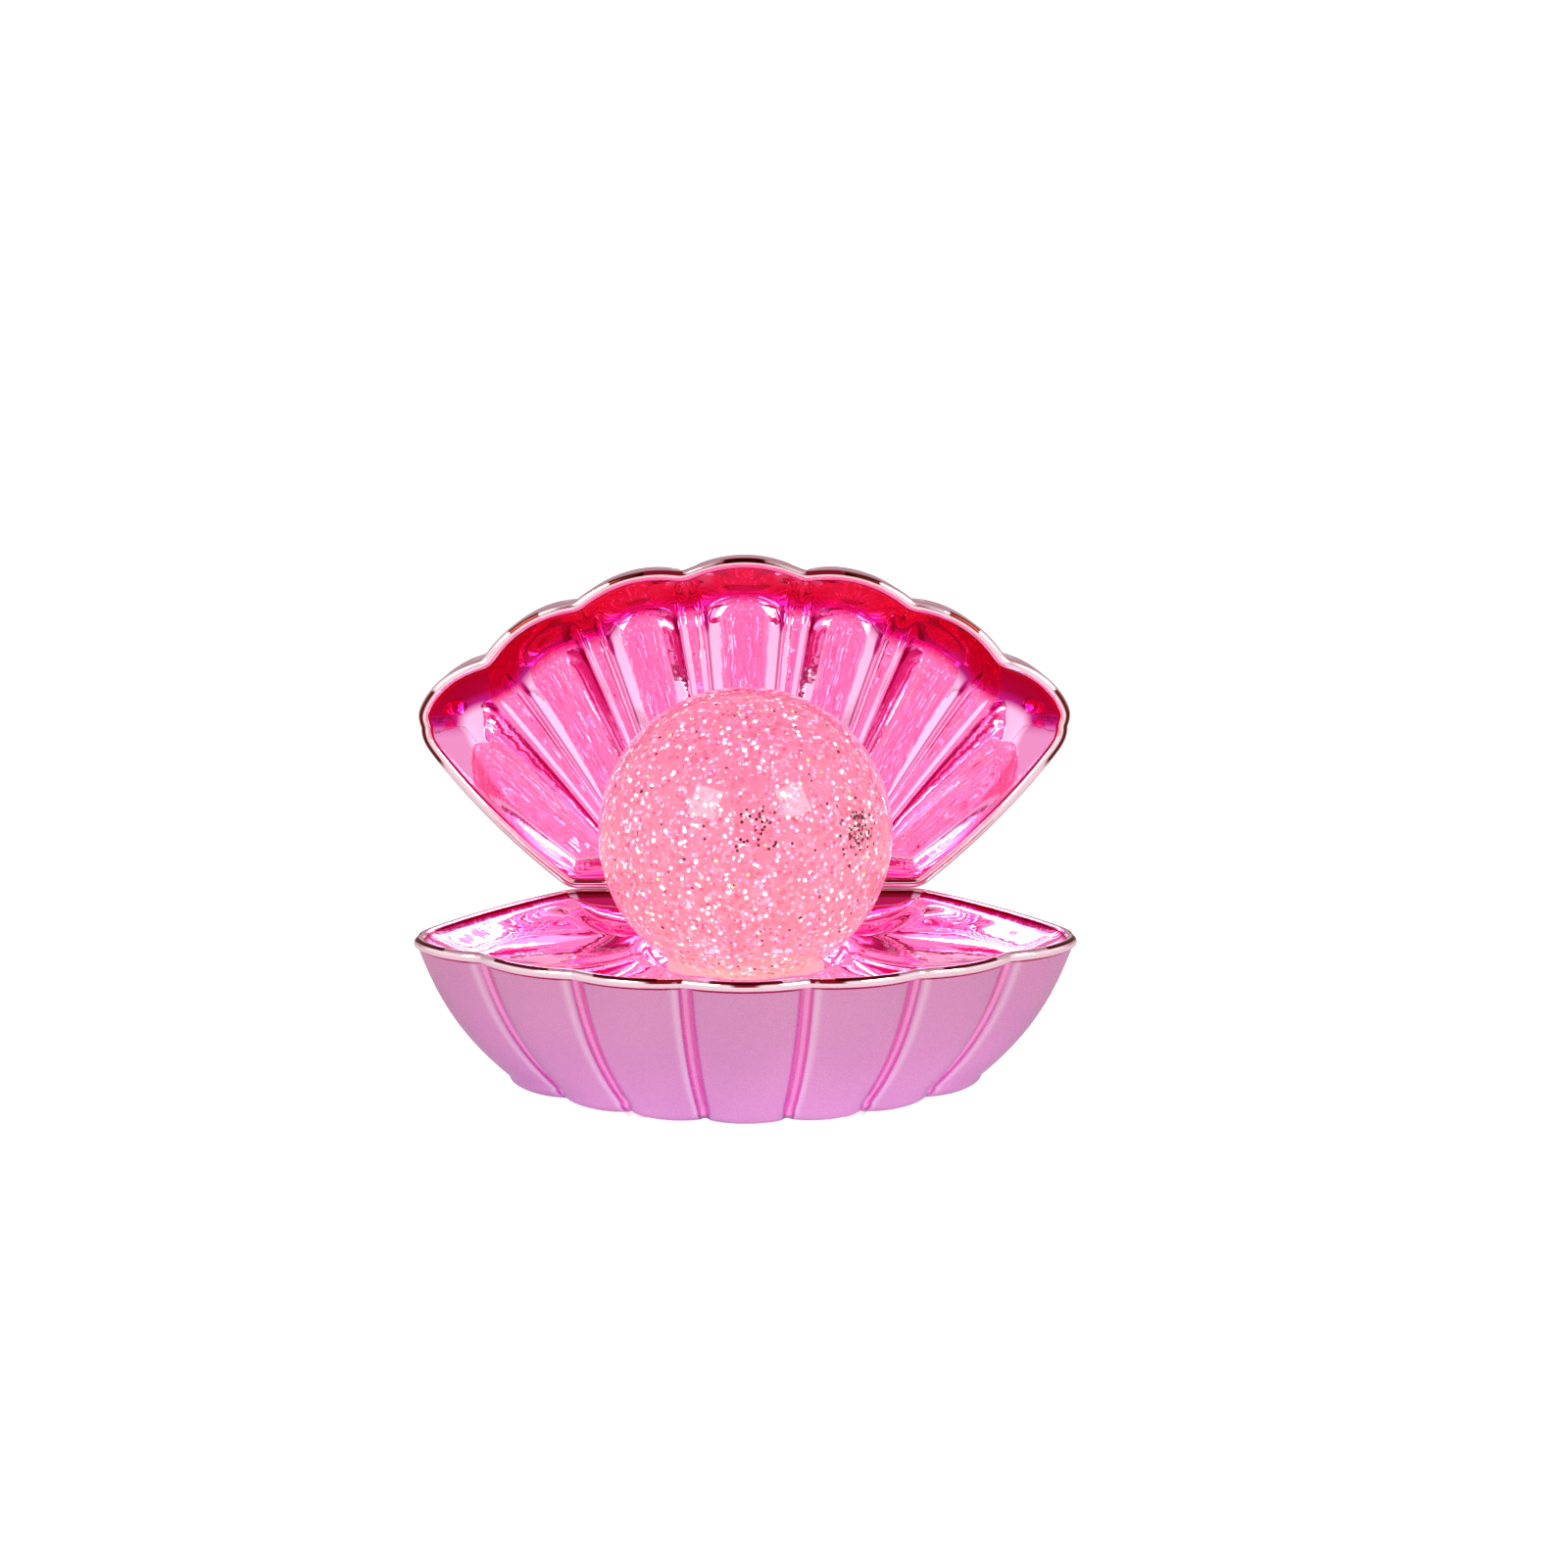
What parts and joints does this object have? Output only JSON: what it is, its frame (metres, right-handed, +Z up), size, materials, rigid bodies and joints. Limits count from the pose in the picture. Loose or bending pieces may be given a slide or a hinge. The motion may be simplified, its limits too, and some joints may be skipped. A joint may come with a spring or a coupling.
{
  "type": "glitter globe mood lamp",
  "caption": "Open clam-shell mood lamp: fluted base and standing fluted lid with mirror linings, holding a lit, stirred glitter globe on a sunken seat.",
  "frame": {"origin": "centre of the bounding box, at the bottom of the feet", "axes": "+X along the hinge edge between the two valves, -Y towards the open front, +Z up"},
  "size_m": [0.171, 0.1236, 0.1317],
  "materials": {
    "satin_pink": "satin metallic mauve-pink lacquer over moulded plastic",
    "mirror_pink": "mirror-polished pink metallised coating over moulded plastic",
    "clear_acrylic": "clear, polished",
    "glitter_liquid": "clear liquid with pink, silver and iridescent glitter, lit from below",
    "white_plastic": "moulded",
    "seal_rubber": "moulded",
    "magnet": "nickel plated",
    "frosted_plastic": "frosted, lit from below",
    "circuit_board": "green solder mask",
    "led_lens": "moulded lens",
    "black_plastic": "moulded",
    "spring_steel": "nickel plated",
    "cell_wrap": "plain printed film",
    "painted_bracket": "painted to match the shells",
    "clear_rubber": "clear soft pads",
    "lead_red": "insulated wire",
    "lead_black": "insulated wire",
    "steel": "zinc plated"
  },
  "bodies": {
    "case": {"base_liner": "mirror_pink", "base_shell": "satin_pink", "battery_tray": "black_plastic", "bracket_screw_base_1": "steel", "bracket_screw_base_2": "steel", "bracket_screw_lid_1": "steel", "bracket_screw_lid_2": "steel", "case_screw_1": "steel", "case_screw_2": "steel", "case_screw_3": "steel", "case_screw_4": "steel", "cell_1": "cell_wrap", "cell_2": "cell_wrap", "cell_3": "cell_wrap", "cell_spring_1": "spring_steel", "cell_spring_2": "spring_steel", "cell_spring_3": "spring_steel", "contact_plate_1": "spring_steel", "contact_plate_2": "spring_steel", "contact_plate_3": "spring_steel", "contact_plate_4": "spring_steel", "control_board": "circuit_board", "control_chip": "black_plastic", "foot_1": "clear_rubber", "foot_2": "clear_rubber", "foot_3": "clear_rubber", "foot_4": "clear_rubber", "glitter_liquid": "glitter_liquid", "globe": "clear_acrylic", "globe_plug": "white_plastic", "globe_seal": "seal_rubber", "lead_black": "lead_black", "lead_red": "lead_red", "led_1": "led_lens", "led_2": "led_lens", "led_3": "led_lens", "led_4": "led_lens", "led_board": "circuit_board", "lid_liner": "mirror_pink", "lid_screw_1": "steel", "lid_screw_2": "steel", "lid_shell": "satin_pink", "light_seat": "frosted_plastic", "motor_can": "steel", "motor_frame": "black_plastic", "rear_bracket": "painted_bracket", "stirrer_pin": "steel", "switch_body": "black_plastic"},
    "rotor": {"motor_shaft": "steel", "magnet_carrier": "white_plastic", "rotor_magnet_1": "magnet", "rotor_magnet_2": "magnet"},
    "stirrer": {"stirrer": "white_plastic", "stirrer_magnet_1": "magnet", "stirrer_magnet_2": "magnet"},
    "switch": {"switch_knob": "black_plastic"},
    "door": {"battery_door": "satin_pink", "door_screw": "steel"}
  },
  "joints": [
    {"name": "rotor_spin", "type": "hinge", "parent": "case", "child": "rotor", "pos_m": [0, -0.01601, 0.026], "axis": [0, 0, 1], "continuous": true},
    {"name": "stirrer_spin", "type": "hinge", "parent": "case", "child": "stirrer", "pos_m": [0, -0.01601, 0.038], "axis": [0, 0, 1], "continuous": true},
    {"name": "switch_slide", "type": "slide", "parent": "case", "child": "switch", "axis": [0, -1, 0], "range_m": [0, 0.004]},
    {"name": "door_pull", "type": "slide", "parent": "case", "child": "door", "axis": [0, 0, -1], "range_m": [0, 0.012]}
  ],
  "couplings": [
    {"joint": "stirrer_spin", "follows": "rotor_spin", "ratio": 1}
  ]
}
